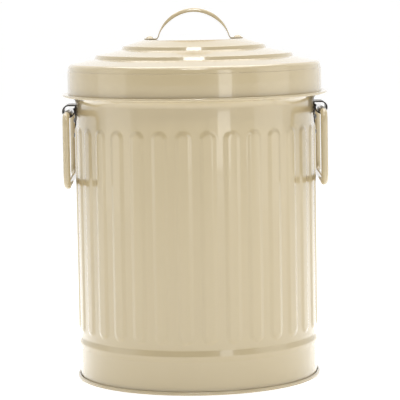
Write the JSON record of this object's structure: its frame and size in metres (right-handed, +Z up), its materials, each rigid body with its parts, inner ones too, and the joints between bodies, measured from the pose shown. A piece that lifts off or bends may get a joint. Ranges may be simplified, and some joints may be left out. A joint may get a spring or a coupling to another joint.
{
  "type": "bread bin",
  "caption": "Dustbin-shaped ribbed sheet-metal bread bin with a lift-off stepped lid, strap lid handle and two swinging side handles.",
  "frame": {"origin": "centre of the foot, on the surface the bin stands on", "axes": "+Z up along the bin's axis; -Y is the front; the two side handles are on +X and -X"},
  "size_m": [0.2508, 0.2508, 0.3482],
  "materials": {
    "wall_enamel": "glossy cream powder coat over pressed sheet steel",
    "base_enamel": "glossy cream powder coat",
    "lid_enamel": "glossy cream powder coat over pressed sheet steel",
    "handle_enamel": "glossy cream powder coat",
    "rivet_enamel": "glossy cream powder coat over rivet heads",
    "bracket_metal": "gloss black-brown japanned steel",
    "wire_steel": "bare steel wire, hidden in the lip"
  },
  "bodies": {
    "bin": {"side_wall": "wall_enamel", "rim_wire": "wire_steel", "base_pan": "base_enamel", "left_bracket": "bracket_metal", "right_bracket": "bracket_metal", "left_bracket_upper_rivet": "bracket_metal", "left_bracket_lower_rivet": "bracket_metal", "right_bracket_upper_rivet": "bracket_metal", "right_bracket_lower_rivet": "bracket_metal"},
    "lid": {"lid_top": "lid_enamel", "lid_skirt": "lid_enamel", "lid_handle": "handle_enamel", "lid_handle_left_rivet": "rivet_enamel", "lid_handle_right_rivet": "rivet_enamel"},
    "left_handle": {"left_bail": "handle_enamel"},
    "right_handle": {"right_bail": "handle_enamel"}
  },
  "joints": [
    {"name": "lid_lift", "type": "slide", "parent": "bin", "child": "lid", "axis": [0, 0, 1], "range_m": [0, 0.12]},
    {"name": "left_handle_swing", "type": "hinge", "parent": "bin", "child": "left_handle", "pos_m": [-0.1188, 0, 0.2515], "axis": [0, 1, 0], "range_deg": [-1, 188]},
    {"name": "right_handle_swing", "type": "hinge", "parent": "bin", "child": "right_handle", "pos_m": [0.1188, 0, 0.2515], "axis": [0, -1, 0], "range_deg": [-1, 188]}
  ]
}
